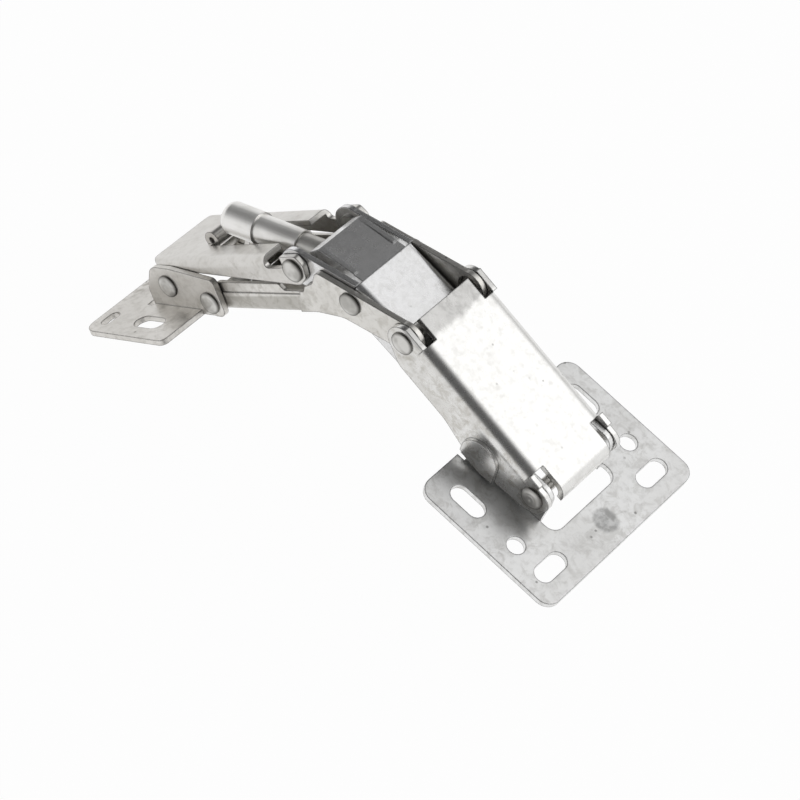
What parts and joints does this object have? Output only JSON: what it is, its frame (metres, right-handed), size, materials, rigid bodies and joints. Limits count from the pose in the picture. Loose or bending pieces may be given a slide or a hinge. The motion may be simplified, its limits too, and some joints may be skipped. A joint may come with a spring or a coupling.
{
  "type": "concealed spring hinge",
  "caption": "Concealed wide-angle spring hinge of plated pressed steel: two slotted mounting plates joined by a bridge of riveted levers with a spring cartridge.",
  "frame": {"origin": "middle of the line between the two outer screw slots of the frame plate, on the plate's mounting face", "axes": "+Z out of the mounting face toward the levers, +X toward the frame plate's outer edge, Y along the pivot pins"},
  "size_m": [0.1124, 0.0466, 0.0611],
  "materials": {
    "plated_sheet": "bright plating, lightly stained",
    "pin_steel": "plated, satin",
    "cartridge_steel": "plated, satin",
    "spring_wire": "oiled spring steel"
  },
  "bodies": {
    "frame": {"frame_plate": "plated_sheet", "inner_frame_pin": "pin_steel", "cover_frame_pin": "pin_steel"},
    "inner lever": {"inner_lever": "plated_sheet", "crossing_pin": "pin_steel", "link_rivet_near": "pin_steel", "link_rivet_far": "pin_steel", "spring_pin": "pin_steel"},
    "cover arm": {"cover_arm": "plated_sheet", "cover_lever_pin": "pin_steel"},
    "bent lever": {"bent_lever": "plated_sheet"},
    "upper link": {"upper_link": "plated_sheet"},
    "door": {"door_plate": "plated_sheet", "door_link_pin": "pin_steel", "door_lever_pin": "pin_steel"},
    "tube": {"spring_tube": "cartridge_steel", "spring": "spring_wire"},
    "cup": {"spring_cup": "cartridge_steel"}
  },
  "joints": [
    {"name": "inner_lever_turn", "type": "hinge", "parent": "frame", "child": "inner lever", "pos_m": [-0.0239, 0, 0.0056], "axis": [0, 1, 0], "range_deg": [0, 110]},
    {"name": "cover_arm_turn", "type": "hinge", "parent": "frame", "child": "cover arm", "pos_m": [-0.0112, 0, 0.0071], "axis": [0, 1, 0], "range_deg": [0, 108]},
    {"name": "bent_lever_turn", "type": "hinge", "parent": "inner lever", "child": "bent lever", "pos_m": [-0.0616, 0, 0.0118], "axis": [0, 1, 0], "range_deg": [-94.5, 0]},
    {"name": "upper_link_turn", "type": "hinge", "parent": "inner lever", "child": "upper link", "pos_m": [-0.0752, 0, 0.007], "axis": [0, 1, 0], "range_deg": [-94.5, 0]},
    {"name": "door_plate_turn", "type": "hinge", "parent": "bent lever", "child": "door", "pos_m": [-0.0881, 0, -0.0192], "axis": [0, 1, 0], "range_deg": [0, 121]},
    {"name": "spring_tube_turn", "type": "hinge", "parent": "inner lever", "child": "tube", "pos_m": [-0.069, 0, 0.0077], "axis": [0, 1, 0], "range_deg": [-85.5, 0]},
    {"name": "spring_cup_slide", "type": "slide", "parent": "tube", "child": "cup", "axis": [-0.8633, 0, -0.5047], "range_m": [-0.0085, 0], "deforming": ["spring"]}
  ],
  "couplings": [
    {"joint": "cover_arm_turn", "follows": "inner_lever_turn", "ratio": 0.98},
    {"joint": "bent_lever_turn", "follows": "inner_lever_turn", "ratio": -0.857},
    {"joint": "upper_link_turn", "follows": "inner_lever_turn", "ratio": -0.857},
    {"joint": "door_plate_turn", "follows": "inner_lever_turn", "ratio": 1.0975},
    {"joint": "spring_tube_turn", "follows": "inner_lever_turn", "ratio": -0.772},
    {"joint": "spring_cup_slide", "follows": "inner_lever_turn", "m_per_rad": -0.004383}
  ]
}
